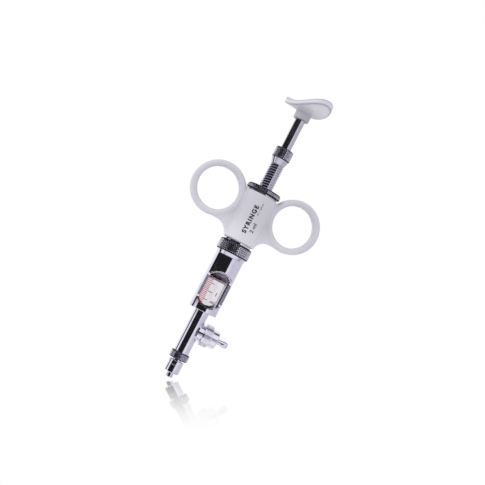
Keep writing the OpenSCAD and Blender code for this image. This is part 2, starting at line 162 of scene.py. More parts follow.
# %% Materials and worlds share one builder
class Graph:
    """A node tree with one method for every kind of node."""

    def __init__(self, tree):
        self.tree = tree

    def node(self, kind, settings=None, output=0, **values):
        node = self.tree.nodes.new(kind)
        for name, setting in (settings or {}).items():
            setattr(node, name, setting)
        for name, value in values.items():
            label = name.replace("_", " ")
            index = int(label[1:]) if label[1:].isdigit() else label
            plug(self.tree, node.inputs[index], value)
        return Wire(self.tree, node.outputs[output])

    def mix(self, factor, first, second):
        """Blend of two colours."""
        return self.node("ShaderNodeMix", {"data_type": "RGBA"}, output=2,
                         i0=factor, i6=first, i7=second)

    def ramp(self, value, low, high, bottom=0.0, top=1.0):
        """A smooth step: `bottom` under `low`, `top` over `high`."""
        settings = {"interpolation_type": "SMOOTHSTEP"}
        return self.node("ShaderNodeMapRange", settings,
                         i0=value, i1=low, i2=high, i3=bottom, i4=top)

    def band(self, value, low, high, edge):
        """1 between `low` and `high`, with soft edges."""
        return (self.ramp(value, low - edge, low + edge)
                * self.ramp(value, high - edge, high + edge, 1.0, 0.0))

    def stored(self, name):
        """An attribute that the mesh stores."""
        return self.node("ShaderNodeAttribute", {"attribute_name": name}, output=2)


class Finish(Graph):
    """A material with a Principled shader; keyword values are constants on the shader."""

    def __init__(self, name, **fixed):
        self.material = bpy.data.materials.new(name)
        self.material.use_nodes = True
        super().__init__(self.material.node_tree)
        self.shader = self.tree.nodes["Principled BSDF"]
        self.feed(**fixed)
        self.place = self.node("ShaderNodeTexCoord", output=3)

    def feed(self, **values):
        for name, value in values.items():
            plug(self.tree, self.shader.inputs[name.replace("_", " ")], value)

    def grain(self, scale, detail=2.0, stretch=(1, 1, 1)):
        """Noise, `scale` per metre, drawn out along the axes where stretch is small."""
        where = self.node("ShaderNodeMapping", i0=self.place, Scale=stretch)
        return self.node("ShaderNodeTexNoise", Vector=where, Scale=scale, Detail=detail)

    def relief(self, height, depth, strength=1.0):
        """Bump from a height that runs from 0 to 1, `depth` millimetres deep."""
        bump = self.node("ShaderNodeBump", Strength=strength, Distance=depth * MM, Height=height)
        self.feed(Normal=bump)


print("shader helpers ready")


# %% [markdown]
# ## Chrome
# Plated brass mirrors the studio almost perfectly. Handling smudges dull it in patches, and lathe
# marks a tenth of a millimetre apart run round the axis: noise, squeezed along the axis and drawn
# out round it. The dose screw and the rod get a slightly rougher copy whose darker tint is painted
# shade, and the sleeve's turns rough where its mesh says that it was milled.

# %% Chrome finishes
SATIN_TINT, SATIN_ROUGHNESS = (0.50, 0.48, 0.55), 0.30


def make_chrome(name, turned_about, tint=(0.80, 0.79, 0.87), dull=(0.62, 0.61, 0.70),
                gloss=0.035, satin=None):
    """Plated metal; turned_about is the lathe's axis, satin an attribute that roughens it."""
    finish = Finish(name, Metallic=1.0)
    smudge = finish.ramp(finish.grain(140, 3.0), 0.42, 0.72)
    stretch = tuple(1.0 if axis == turned_about else 0.02 for axis in range(3))
    marks = finish.grain(9000, 2.0, stretch)
    colour = finish.mix(smudge * 0.6, tint, dull)
    roughness = gloss + smudge * 0.05 + marks * 0.03
    if satin:
        scratched = finish.stored(satin)
        colour = finish.mix(scratched, colour, SATIN_TINT)
        roughness = roughness + scratched * SATIN_ROUGHNESS
    finish.feed(Base_Color=colour, Roughness=roughness)
    finish.relief(marks, 0.0012, 0.25)
    return finish.material


chrome = make_chrome("chrome", turned_about=2)
inlet_chrome = make_chrome("inlet chrome", turned_about=0)
# Darker copy of the chrome for the dose screw and the rod: its darker tint is painted shade.
shaded_chrome = make_chrome(
    "shaded chrome", turned_about=2, tint=(0.60, 0.59, 0.67),
    dull=(0.46, 0.45, 0.52), gloss=0.08)
milled_chrome = make_chrome("milled chrome", turned_about=2, satin="milled")
print("four chrome finishes made")


# %% [markdown]
# ## Knurled chrome
# A knurling wheel rolls diamonds into the nuts. Polish never reaches the grooves, so they are
# rougher than the crests, and their near-black colour is painted shade. The knurling below stores
# how high each point stands in an attribute named `crest`, and this finish reads it. The inlet nut
# gets a lighter copy with pale grooves, which is painted light.

# %% Knurled chrome finish
def make_knurled(name, crest_colour, groove_colour):
    finish = Finish(name, Metallic=1.0)
    crest = finish.ramp(finish.stored("crest"), 0.25, 0.85)
    grime = finish.ramp(finish.grain(900, 3.0), 0.35, 0.7)
    finish.feed(Base_Color=finish.mix(crest * (1 - grime * 0.3), groove_colour, crest_colour),
                Roughness=0.18 - crest * 0.11 + grime * 0.05)
    finish.relief(finish.grain(14000, 1.0), 0.002, 0.2)
    return finish.material


# The near-black groove colour of this finish is painted shade in the grooves.
knurled = make_knurled("knurled chrome", (0.90, 0.89, 0.96), (0.05, 0.05, 0.065))
# Lighter copy of the knurled chrome for the inlet nut, with pale grooves: painted light.
bright_knurled = make_knurled("bright knurled chrome", (0.98, 0.97, 1.0), (0.84, 0.83, 0.90))
print("two knurled finishes made")


# %% [markdown]
# ## Moulded plastic
# The grip and the thumb rest are white plastic with a satin skin. The mould leaves a very fine
# orange-peel texture, and a faint cloudiness keeps large faces from looking flat. Painted light makes
# the grip lighter towards its foot, and painted shade darkens the thumb rest's collar and edges.

# %% Plastic finishes
def make_plastic(name, colour, shade, gloss, rim=None, foot_shading=None):
    """Satin plastic; rim tones edges with painted shade, foot is a painted shading tone and its
    heights.
    """
    finish = Finish(name, Specular_IOR_Level=0.45)
    cloud = finish.ramp(finish.grain(45, 3.0), 0.35, 0.7)
    tone = finish.mix(cloud * 0.7, colour, shade)
    # Painted shading: a tone that fades in towards the part's foot.
    if foot_shading:
        painted_foot_tone, full_at, gone_at = foot_shading
        height = finish.node("ShaderNodeSeparateXYZ", output=2, i0=finish.place)
        fade = finish.ramp(height, full_at * MM, gone_at * MM, 1.0, 0.0)
        tone = finish.mix(fade, tone, painted_foot_tone)
    # Painted shade: a darker tone on the marked edges.
    if rim:
        tone = finish.mix(finish.stored("rim"), tone, rim)
    peel = finish.grain(2600, 3.0)
    finish.feed(Base_Color=tone, Roughness=gloss + peel * 0.12)
    finish.relief(peel, 0.012, 0.15)
    return finish.material


thumb_foot = span("thumb_rest")[0]
# The grip's foot tone is painted light: the grip is lighter towards the bottom.
grip_plastic = make_plastic(
    "grip plastic", (0.58, 0.57, 0.64), (0.54, 0.53, 0.60), 0.30,
    foot_shading=((0.68, 0.67, 0.73), handle_bottom + 2, handle_bottom + 16))
# The thumb rest's rim tone is painted shade on its edges, and its foot tone is painted shade on its
# collar.
thumb_plastic = make_plastic(
    "thumb plastic", (0.66, 0.65, 0.72), (0.61, 0.60, 0.67), 0.30,
    rim=(0.36, 0.355, 0.40),
    foot_shading=((0.43, 0.425, 0.49), thumb_foot + 4.0, thumb_foot + 7.5))
valve_plastic = make_plastic("valve plastic", (0.74, 0.72, 0.66), (0.68, 0.66, 0.60), 0.38)
print("three plastics made")


# %% [markdown]
# ## Glass, rubber, steel and print
# The barrel is clear glass, with very shallow drawing lines along its length. Seals are dark grey
# rubber. The piston is turned steel, dulled so that it reads grey inside the glass, and the springs
# are drawn wire. The scale is fired red enamel, darker for its long marks and numbers.

# %% Glass and rubber
def make_glass():
    finish = Finish("barrel glass", Transmission_Weight=1.0, IOR=1.47)
    draw = finish.grain(700, 2.0, (1, 1, 0.03))
    finish.feed(Base_Color=finish.mix(draw, (0.89, 0.875, 0.895), (0.915, 0.90, 0.92)),
                Roughness=0.004 + draw * 0.012)
    finish.relief(draw, 0.003, 0.12)
    return finish.material


def make_rubber():
    finish = Finish("seal rubber", Specular_IOR_Level=0.35)
    bloom = finish.grain(1200, 4.0)
    finish.feed(Base_Color=finish.mix(bloom, (0.05, 0.048, 0.055), (0.09, 0.088, 0.10)),
                Roughness=0.55 + bloom * 0.2)
    finish.relief(bloom, 0.01, 0.3)
    return finish.material


glass, rubber = make_glass(), make_rubber()
print("made", glass.name, "and", rubber.name)


# %% Turned steel, spring wire and the two prints
def make_steel(name, colour, shade, stretch, gloss, metallic=1.0):
    finish = Finish(name, Metallic=metallic)
    lines = finish.grain(5200, 3.0, stretch)
    finish.feed(Base_Color=finish.mix(lines, colour, shade), Roughness=gloss + lines * 0.16)
    finish.relief(lines, 0.006, 0.4)
    return finish.material


def make_print(name, colour, worn, gloss):
    finish = Finish(name, Specular_IOR_Level=0.4)
    speckle = finish.ramp(finish.grain(3800, 2.0), 0.45, 0.75)
    finish.feed(Base_Color=finish.mix(speckle, colour, worn), Roughness=gloss + speckle * 0.15)
    return finish.material


piston_steel = make_steel(
    "piston steel", (0.74, 0.72, 0.79), (0.60, 0.58, 0.65),
    (0.02, 0.02, 1), 0.42, metallic=0.3)
spring_wire = make_steel("spring wire", (0.62, 0.62, 0.66), (0.40, 0.40, 0.44), (1, 1, 0.3), 0.18)
scale_red = make_print("scale red", (0.44, 0.02, 0.055), (0.54, 0.07, 0.11), 0.35)
number_red = make_print("number red", (0.15, 0.03, 0.05), (0.20, 0.06, 0.08), 0.4)
mark_grey = make_print("mark grey", (0.012, 0.012, 0.022), (0.03, 0.03, 0.045), 0.5)
print("steels and prints made")


# %% [markdown]
# ## Turning pieces on a lathe
# A turned piece is half of its cross-section, spun once round the axis. The outline is a list of
# stops: radius, height and, where the corner is broken, the size of its rounding. `piece` then makes
# the object, shades it and ties it to its CAD body. Its weighted normals keep the flat walls
# mirror-straight beside their small rounded edges.

# %% Outline and lathe
def rounded(bm, corners, size, segments):
    """Round the corner vertices of an outline by `size` millimetres."""
    bmesh.ops.bevel(bm, geom=corners, offset=size * MM, offset_type="OFFSET", affect="VERTICES",
                    segments=segments, profile=0.5, material=-1)


def outline(stops, closed=True):
    """A wire in the XZ plane through (radius, height[, rounding]) stops, in millimetres."""
    bm = bmesh.new()
    points = [bm.verts.new((stop[0] * MM, 0, stop[1] * MM)) for stop in stops]
    for first, second in zip(points, points[1:] + points[:1] if closed else points[1:]):
        bm.edges.new((first, second))
    for size in sorted({stop[2] for stop in stops if len(stop) > 2}):
        corners = [p for p, stop in zip(points, stops) if len(stop) > 2 and stop[2] == size]
        rounded(bm, corners, size, 4)
    return bm


def tidy(bm):
    """Weld what touches and turn every face outwards."""
    bmesh.ops.remove_doubles(bm, verts=bm.verts[:], dist=1e-6)
    bmesh.ops.recalc_face_normals(bm, faces=bm.faces[:])
    return bm


def spun(bm, steps, angle=2 * math.pi, rise=0.0, geom=None, **settings):
    """Spin geometry round the syringe axis, rising by so many metres a step."""
    return bmesh.ops.spin(
        bm, geom=geom or bm.verts[:] + bm.edges[:], cent=(0, 0, 0),
        axis=(0, 0, 1), dvec=(0, 0, rise), angle=angle, steps=steps, **settings)


def turned(stops, closed=True, steps=96):
    """An outline spun once round the syringe axis."""
    bm = outline(stops, closed)
    spun(bm, steps, use_merge=True)
    return tidy(bm)


def wire_section(bm, reach, radius, height, segments, filled=False):
    """A wire's upright circle at a reach and height, in millimetres."""
    made = bmesh.ops.create_circle(bm, segments=segments, radius=radius * MM, cap_ends=filled)
    loop = made["verts"]
    bmesh.ops.rotate(bm, matrix=Matrix.Rotation(math.pi / 2, 3, "X"), verts=loop)
    bmesh.ops.translate(bm, vec=(reach * MM, 0, height * MM), verts=loop)


def only(kind, items):
    """The vertices, edges or faces among mixed geometry."""
    return [item for item in items if isinstance(item, kind)]


def extruded(bm, reach):
    """Every face pushed out along X by `reach` millimetres."""
    grown = bmesh.ops.extrude_face_region(bm, geom=bm.faces[:])["geom"]
    bmesh.ops.translate(bm, vec=(reach * MM, 0, 0), verts=only(bmesh.types.BMVert, grown))
    return tidy(bm)


# %% Lay a piece along the inlet, and make the finished object
TO_INLET = Matrix.Translation((0, 0, inlet_height * MM)) @ Matrix.Rotation(math.pi / 2, 4, "Y")


def laid_on_inlet(bm):
    """Swing a piece made along the syringe axis onto the inlet's axis."""
    bmesh.ops.transform(bm, matrix=TO_INLET, verts=bm.verts[:])
    return bm


def piece(name, bm, body, slot, finish, *nodes, sharp=35, even=True):
    """Make the object, shade it, tie it to its body and hide the CAD nodes it stands for."""
    mesh = bpy.data.meshes.new(name)
    bm.to_mesh(mesh)
    bm.free()
    mesh.shade_smooth()
    mesh.set_sharp_from_angle(angle=math.radians(sharp))
    mesh.materials.append(finish)
    obj = link(bpy.data.objects.new(name, mesh))
    if even:
        obj.modifiers.new("even shading", "WEIGHTED_NORMAL").keep_sharp = True
    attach(obj, body)
    if nodes:
        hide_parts(*nodes)
    print(f"{name}: {len(mesh.polygons)} faces on {body}")
    return obj


BARREL = "barrel_and_handle"


# %% [markdown]
# ## Knurling
# A flat grid is cut into diamonds: poke every square, dissolve the grid's own lines, and diamonds
# are left between the squares' centres. An inset with depth raises each into a flat-topped crest.
# Only then is the sheet wrapped round the nut, and its two open rims are carried inwards, stop by
# stop, until the piece is a closed ring.

# %% Diamond sheet wrapped round an axis
CREST_INSET = 0.17


def knurled_sheet(radius, bottom, top, pitch, depth):
    """A wrapped band of knurling whose grooves lie depth under radius, in millimetres."""
    around, rows = round(2 * math.pi * radius / pitch), max(2, round((top - bottom) / pitch))
    bm = bmesh.new()
    bmesh.ops.create_grid(bm, x_segments=around, y_segments=rows, size=0.5)
    grid_lines = [edge for edge in bm.edges if not edge.is_boundary]
    bmesh.ops.poke(bm, faces=bm.faces[:])
    bmesh.ops.dissolve_edges(bm, edges=grid_lines, use_verts=False)
    base = radius - depth
    bmesh.ops.scale(bm, vec=(2 * math.pi * base, top - bottom, 1), verts=bm.verts[:])
    diamonds = [face for face in bm.faces if len(face.verts) == 4]
    bmesh.ops.inset_individual(
        bm, faces=diamonds, thickness=CREST_INSET * pitch, depth=depth,
        use_even_offset=True)
    crest = bm.verts.layers.float.new("crest")
    for vert in bm.verts:
        turn, height, raised = vert.co.x / base, vert.co.y + (bottom + top) / 2, vert.co.z
        vert[crest] = abs(raised) / depth
        reach = base + abs(raised)
        vert.co = Vector((reach * math.sin(turn), -reach * math.cos(turn), height)) * MM
    bmesh.ops.remove_doubles(bm, verts=bm.verts[:], dist=1e-5)
    return bm


def carry_rim(bm, start_height, stops):
    """Extrude the open rim at a height through (radius, height) stops, in millimetres."""
    rim = [edge for edge in bm.edges if edge.is_boundary
           and all(abs(vert.co.z / MM - start_height) < 1e-3 for vert in edge.verts)]
    for radius, height in stops:
        grown = bmesh.ops.extrude_edge_only(bm, edges=rim)["geom"]
        fresh = only(bmesh.types.BMVert, grown)
        rim = [edge for edge in only(bmesh.types.BMEdge, grown)
               if all(vert in fresh for vert in edge.verts)]
        for vert in fresh:
            flat = Vector((vert.co.x, vert.co.y, 0)).normalized() * radius
            vert.co = Vector((flat.x, flat.y, height)) * MM
    return bm


def knurled_ring(radius, bottom, top, pitch, depth, chamfer, inside):
    """A knurled ring: chamfered rims, then the stops of its inside from top to bottom."""
    low, high = bottom + chamfer, top - chamfer
    bm = knurled_sheet(radius, low, high, pitch, depth)
    stops = [(radius - depth - chamfer / 2, top)] + inside
    stops += [(radius - depth - chamfer / 2, bottom), (radius - depth, low)]
    return tidy(carry_rim(bm, high, stops))


# %% [markdown]
# ## Tip: Luer cone and lock collar
# The needle hub pushes onto a cone with the standard 6 % taper and screws into the collar round it.
# The collar's thread is shown as ring grooves, deep inside where only a view from below reaches.

# %% Luer cone and collar
CONE_RADIUS, CONE_ROOT, CONE_LENGTH, CHANNEL = 1.98, 2.205, 7.5, 1.0
TIP_NECK, TIP_FLANGE = 2.8, 0.7
cone_top, cone_flange = span("luer_cone")[1:]
cone = turned([
    (CHANNEL, 0, 0.1), (CONE_RADIUS, 0, 0.2), (CONE_ROOT, CONE_LENGTH),
    (TIP_NECK, CONE_LENGTH, 0.1), (TIP_NECK, cone_top - TIP_FLANGE),
    (cone_flange, cone_top - TIP_FLANGE), (cone_flange, cone_top), (CHANNEL, cone_top)], steps=72)
piece("tip_cone", cone, BARREL, "chrome", chrome, "luer_cone")

collar_bottom, collar_top, collar_radius = span("luer_collar")
THREAD_ROOT, THREAD_CREST = collar_radius - 0.45, collar_radius - 0.85
THREAD_FIRST, THREAD_STEP, THREAD_GAP, THREAD_FLANK = 2.4, 2.5, 1.5, 0.25
GROOVE_LOW, GROOVE_HIGH, GROOVE_DEPTH, GROOVE_FLANK = 7.40, 7.80, 0.3, 0.02
CAVITY_TOP, neck_hole, groove_floor = CONE_LENGTH + 0.6, TIP_NECK + 0.05, collar_radius - GROOVE_DEPTH
thread_stops = []
for groove in (THREAD_FIRST + collar_bottom + THREAD_STEP, THREAD_FIRST + collar_bottom):
    thread_stops += [(THREAD_CREST, groove), (THREAD_ROOT, groove - THREAD_FLANK),
                     (THREAD_ROOT, groove - (THREAD_GAP - THREAD_FLANK)),
                     (THREAD_CREST, groove - THREAD_GAP)]
collar = turned(
    [(neck_hole, collar_top), (neck_hole, CAVITY_TOP), (THREAD_CREST, CAVITY_TOP)]
    + thread_stops
    + [(THREAD_CREST, collar_bottom, 0.12), (collar_radius, collar_bottom, 0.35),
       (collar_radius, GROOVE_LOW, 0.04), (groove_floor, GROOVE_LOW + GROOVE_FLANK, 0.04),
       (groove_floor, GROOVE_HIGH - GROOVE_FLANK, 0.04),
       (collar_radius, GROOVE_HIGH, 0.04), (collar_radius, collar_top, 0.35)])
piece("tip_lock_collar", collar, BARREL, "chrome", chrome, "luer_collar")

# %% The small knurled nut
nut_bottom, nut_top, nut_radius = span("tip_nut")
NUT_BORE, NUT_HOLE, NUT_FLOOR = 4.05, 3.0, 0.9
small_nut = knurled_ring(
    nut_radius, nut_bottom, nut_top, pitch=1.0, depth=0.24, chamfer=0.35,
    inside=[(NUT_BORE, nut_top), (NUT_BORE, nut_bottom + NUT_FLOOR),
            (NUT_HOLE, nut_bottom + NUT_FLOOR), (NUT_HOLE, nut_bottom)])
piece("tip_knurled_nut", small_nut, BARREL, "knurled_chrome", knurled, "tip_nut",
      sharp=20, even=False)


# %% [markdown]
# ## Valve tube
# The tube carries a slot-shaped pad, curved as it is, and a round boss where the inlet screws in.
# Three solids are joined by an exact Boolean and the bores are cut out of the result, the order in
# which it is machined.

# %% Boolean helper
def temporary(bm):
    """A throwaway object for modifiers to work on."""
    mesh = bpy.data.meshes.new("tool")
    bm.to_mesh(mesh)
    bm.free()
    return link(bpy.data.objects.new("tool", mesh))


def worked(bm, *changes):
    """bm after modifiers; a change is (kind, settings), where a bmesh becomes a tool."""
    blank, tools = temporary(bm), []
    for kind, settings in changes:
        modifier = blank.modifiers.new(kind, kind)
        for name, value in settings.items():
            if isinstance(value, bmesh.types.BMesh):
                tools.append(temporary(value))
                value = tools[-1]
            setattr(modifier, name, value)
    bpy.context.view_layer.update()
    result = blank.evaluated_get(bpy.context.evaluated_depsgraph_get())
    done = bmesh.new()
    done.from_mesh(result.to_mesh())
    result.to_mesh_clear()
    for obj in [blank] + tools:
        bpy.data.meshes.remove(obj.data)
    return done


def cut(tool, operation="DIFFERENCE"):
    return "BOOLEAN", {"object": tool, "operation": operation, "solver": "EXACT"}


# %% Tube, pad, boss and bores
tube_end, tube_top, _ = span("valve_body")
TUBE_RADIUS, TUBE_STEM, SPIGOT_RADIUS, CHAMBER = 4.45, 4.0, 3.4, 2.9
PAD_HALF_HEIGHT, PAD_HALF_WIDTH, PAD_PROUD, PAD_START, PAD_BLANK = 6.1, 4.0, 0.35, 2.0, 4.0
BOSS_RADIUS, BOSS_STEM, BOSS_START, BOSS_FACE, BOSS_END = 5.2, 4.6, 2.8, 5.8, 9.8
INLET_CHAMBER, INLET_FLOOR = 3.0, 1.9
chamber_top = tube_bottom + 6
tube = turned([
    (CHAMBER, tube_end), (TUBE_STEM, tube_end, 0.1), (TUBE_STEM, tube_bottom),
    (TUBE_RADIUS, tube_bottom, 0.1), (TUBE_RADIUS, sleeve_bottom, 0.1),
    (SPIGOT_RADIUS, sleeve_bottom), (SPIGOT_RADIUS, tube_top), (CHANNEL, tube_top),
    (CHANNEL, chamber_top), (CHAMBER, chamber_top)])


def slot_pad():
    """The upright slot-shaped pad under the boss, curved like the tube."""
    bm = bmesh.new()
    rise = PAD_HALF_HEIGHT - PAD_HALF_WIDTH
    low, high = inlet_height - PAD_HALF_HEIGHT, inlet_height + PAD_HALF_HEIGHT
    corners = [(y, z) for z in (low, high) for y in (-PAD_HALF_WIDTH, PAD_HALF_WIDTH)]
    ring = [bm.verts.new(Vector((PAD_START, y, z)) * MM) for y, z in corners]
    bm.faces.new((ring[0], ring[1], ring[3], ring[2]))
    rounded(bm, ring, PAD_HALF_WIDTH - 0.01, 12)
    skin = turned([(0, low - 1), (TUBE_RADIUS + PAD_PROUD, low - 1),
                   (TUBE_RADIUS + PAD_PROUD, high + 1), (0, high + 1)], closed=False)
    return tidy(worked(extruded(bm, PAD_BLANK), cut(skin, "INTERSECT")))


boss = laid_on_inlet(turned([
    (0, BOSS_START), (BOSS_RADIUS, BOSS_START), (BOSS_RADIUS, BOSS_FACE, 0.3),
    (BOSS_STEM, BOSS_FACE), (BOSS_STEM, BOSS_END), (0, BOSS_END)], closed=False))
tube_core = turned([
    (0, chamber_top - 0.5), (CHANNEL, chamber_top - 0.5), (CHANNEL, tube_top + 1),
    (0, tube_top + 1)], closed=False, steps=48)
inlet_bore = laid_on_inlet(turned([
    (0, 0), (CHANNEL, 0), (CHANNEL, INLET_FLOOR), (INLET_CHAMBER, INLET_FLOOR),
    (INLET_CHAMBER, BOSS_END + 1), (0, BOSS_END + 1)], closed=False, steps=64))
tube_body = worked(
    tube, cut(slot_pad(), "UNION"), cut(boss, "UNION"), cut(tube_core),
    cut(inlet_bore))
piece("valve_tube", tidy(tube_body), BARREL, "chrome", chrome, "valve_body", sharp=25)


# %% [markdown]
# ## Inlet: knurled nut and hose nipple
# The nut clamps the nipple onto its valve and has a smooth nose; the nipple has a barb for a soft
# hose. Both are made upright and then swung onto the inlet axis.

# %% Inlet nut and nipple
inlet_start, nose_end, inlet_radius = span("inlet_nut", axis=0)
NOSE_RADIUS, NOSE_START, NOSE_HOLE, INLET_THREAD = 5.65, 11.0, 2.1, 4.65
INLET_CHAMFER, INLET_DEPTH = 0.35, 0.22
inlet_shoulder, nose_inside = inlet_radius - 0.45, nose_end - 1.1
inlet_sheet = knurled_sheet(
    inlet_radius, inlet_start + INLET_CHAMFER, NOSE_START - INLET_CHAMFER,
    pitch=0.74, depth=INLET_DEPTH)
nose = [(inlet_shoulder, NOSE_START), (NOSE_RADIUS, NOSE_START), (NOSE_RADIUS, nose_end - 0.6),
        (NOSE_RADIUS - 0.2, nose_end - 0.2), (NOSE_RADIUS - 0.6, nose_end), (NOSE_HOLE, nose_end),
        (NOSE_HOLE, nose_inside), (INLET_THREAD, nose_inside), (INLET_THREAD, inlet_start),
        (inlet_shoulder, inlet_start), (inlet_radius - INLET_DEPTH, inlet_start + INLET_CHAMFER)]
inlet_nut = laid_on_inlet(tidy(carry_rim(inlet_sheet, NOSE_START - INLET_CHAMFER, nose)))
piece("inlet_knurled_nut", inlet_nut, BARREL, "knurled_chrome", bright_knurled, "inlet_nut",
      sharp=20, even=False)

barb_start, barb_end, _ = span("inlet_nipple", axis=0)
HOSE_BORE, NIPPLE_FLANGE, NIPPLE_SHANK, NECK_RADIUS = 0.9, 4.4, 2.0, 1.75
BARB_RADIUS, BARB_TIP, BARB_BACK, BARB_LEAD, BARB_LENGTH = 2.05, 1.5, 0.9, 1.3, 4.1
barb_back = barb_end - BARB_LENGTH
nipple = turned([
    (HOSE_BORE, barb_start), (NIPPLE_FLANGE, barb_start), (NIPPLE_FLANGE, nose_inside),
    (NIPPLE_SHANK, nose_inside), (NIPPLE_SHANK, nose_end), (NECK_RADIUS, nose_end),
    (NECK_RADIUS, barb_back, 0.3), (BARB_RADIUS, barb_back + BARB_BACK, 0.2),
    (BARB_RADIUS, barb_end - BARB_LEAD, 0.2), (BARB_TIP, barb_end, 0.15),
    (HOSE_BORE, barb_end, 0.05)], steps=64)
piece("hose_nipple", laid_on_inlet(nipple), BARREL, "chrome", inlet_chrome, "inlet_nipple")


# %% [markdown]
# ## Sleeve with its windows
# The sleeve's windows, one in front and one behind, are milled from the side: the cutter leaves a
# flat along each edge and slopes out to the skin at both ends, which bares the wall as a bright
# crescent. The cutter here is that scoop: a trapezium with two rounded corners, extruded right
# across the sleeve. A fine bevel breaks the edges, and an attribute named `milled` marks the flats.

# %% Window cutters
WINDOW_UP, WINDOW_HEIGHT, WINDOW_RUN, FLAT_SHARE = 2.5, 22.4, 4.2, 0.4
SCOOP_CORNER, EDGE_BREAK = 1.0, 0.09
sleeve_low, sleeve_high, sleeve_radius = span("barrel_sleeve")


def scoop(face):
    """The metal that the window cutter takes away on one face (-1 front, 1 back)."""
    bm = bmesh.new()
    near, far = FLAT_SHARE * sleeve_radius, 2 * sleeve_radius
    low = sleeve_bottom + WINDOW_UP
    spread = WINDOW_RUN * (far - near) / (sleeve_radius - near) - WINDOW_RUN
    corners = [bm.verts.new(Vector((-2 * sleeve_radius, face * y, low + up)) * MM)
               for y, up in ((near, WINDOW_RUN), (near, WINDOW_HEIGHT - WINDOW_RUN),
                             (far, WINDOW_HEIGHT + spread), (far, -spread))]
    bm.faces.new(corners)
    rounded(bm, corners[:2], SCOOP_CORNER, 8)
    return extruded(bm, 4 * sleeve_radius)


# %% Cut the sleeve
SLEEVE_HOLE, SLEEVE_INSIDE, SLEEVE_THREAD, SLEEVE_FLOOR = 3.45, 7.15, 7.95, 1.2
sleeve_top = span("coupling_nut")[0] - 0.1
sleeve = turned([
    (SLEEVE_HOLE, sleeve_bottom), (sleeve_radius, sleeve_bottom, 0.3),
    (sleeve_radius, sleeve_top, 0.1), (SLEEVE_THREAD, sleeve_top), (SLEEVE_THREAD, sleeve_high),
    (SLEEVE_INSIDE, sleeve_high), (SLEEVE_INSIDE, sleeve_bottom + SLEEVE_FLOOR),
    (SLEEVE_HOLE, sleeve_bottom + SLEEVE_FLOOR)], steps=128)
edge_break = "BEVEL", {
    "width": EDGE_BREAK * MM, "segments": 2, "limit_method": "ANGLE",
    "angle_limit": math.radians(40), "use_clamp_overlap": True}
sleeve_cut = tidy(worked(sleeve, cut(scoop(-1)), cut(scoop(1))))
windowed = tidy(worked(sleeve_cut, edge_break))
milled = windowed.verts.layers.float.new("milled")
for vert in windowed.verts:
    vert[milled] = float(abs(abs(vert.co.y / MM) - FLAT_SHARE * sleeve_radius) < 1e-3)
piece("windowed_sleeve", windowed, BARREL, "chrome", milled_chrome, "barrel_sleeve", sharp=30)


# %% [markdown]
# ## Glass barrel and its scale
# The glass is a plain tube with fire-polished ends. The scale is printed in enamel: a short red tick
# every tenth of a millilitre up to 1.7 and, in darker ink, a longer one every half, numbers at one
# and two, and the unit. Each mark is drawn flat, given a hair of thickness and then wrapped onto the
# glass, as a transfer would be.

# %% Glass tube
glass_low, glass_high, glass_radius = span("glass_barrel")
BORE = 5.73
tube_of_glass = turned([
    (BORE, glass_low, 0.3), (glass_radius, glass_low, 0.3),
    (glass_radius, glass_high, 0.3), (BORE, glass_high, 0.3)], steps=128)
piece("glass_tube", tube_of_glass, BARREL, "glass", glass, "glass_barrel")


# %% Marks wrapped on a round surface
PRINT_THICKNESS, PRINT_GAP, BEND_STEP = 0.03, 0.02, 0.5


def wrapped(bm, radius_at):
    """Bend flat marks (x along the girth, y up, in millimetres) onto a surface of that radius."""
    for vert in bm.verts:
        reach = radius_at(vert.co.y) + vert.co.z
        turn = vert.co.x / radius_at(vert.co.y)
        vert.co = Vector((reach * math.sin(turn), -reach * math.cos(turn), vert.co.y)) * MM
    return tidy(bm)


def bar(bm, left, right, height, width):
    """A flat printed line, cut across so that it can bend."""
    cuts = max(1, round(right - left))
    made = bmesh.ops.create_grid(bm, x_segments=cuts, y_segments=1, size=0.5)["verts"]
    bmesh.ops.scale(bm, vec=(right - left, width, 1), verts=made)
    bmesh.ops.translate(bm, vec=((left + right) / 2, height, PRINT_GAP), verts=made)


def lettering(text, size, across, height, turn=0.0, weight=0.0, spacing=1.0):
    """Flat lettering centred at a place, in millimetres; weight fattens its strokes."""
    curve = bpy.data.curves.new("lettering", "FONT")
    curve.body, curve.size, curve.extrude, curve.offset = text, size, PRINT_THICKNESS / 2, weight
    curve.align_x, curve.align_y, curve.space_character = "CENTER", "CENTER", spacing
    obj = link(bpy.data.objects.new("lettering", curve))
    bpy.context.view_layer.update()
    bm = bmesh.new()
    bm.from_mesh(obj.to_mesh())
    obj.to_mesh_clear()
    bpy.data.curves.remove(curve)
    bmesh.ops.remove_doubles(bm, verts=bm.verts[:], dist=1e-4)
    spot = Matrix.Translation((across, height, PRINT_GAP + PRINT_THICKNESS / 2))
    bmesh.ops.transform(bm, matrix=spot @ Matrix.Rotation(turn, 4, "Z"), verts=bm.verts[:])
    low = min(v.co.x for v in bm.verts)
    steps = round((max(v.co.x for v in bm.verts) - low) / BEND_STEP)
    for step in range(1, steps):
        bmesh.ops.bisect_plane(
            bm, geom=bm.verts[:] + bm.edges[:] + bm.faces[:], dist=1e-5,
            plane_co=(low + step * BEND_STEP, 0, 0), plane_no=(1, 0, 0))
    return bm


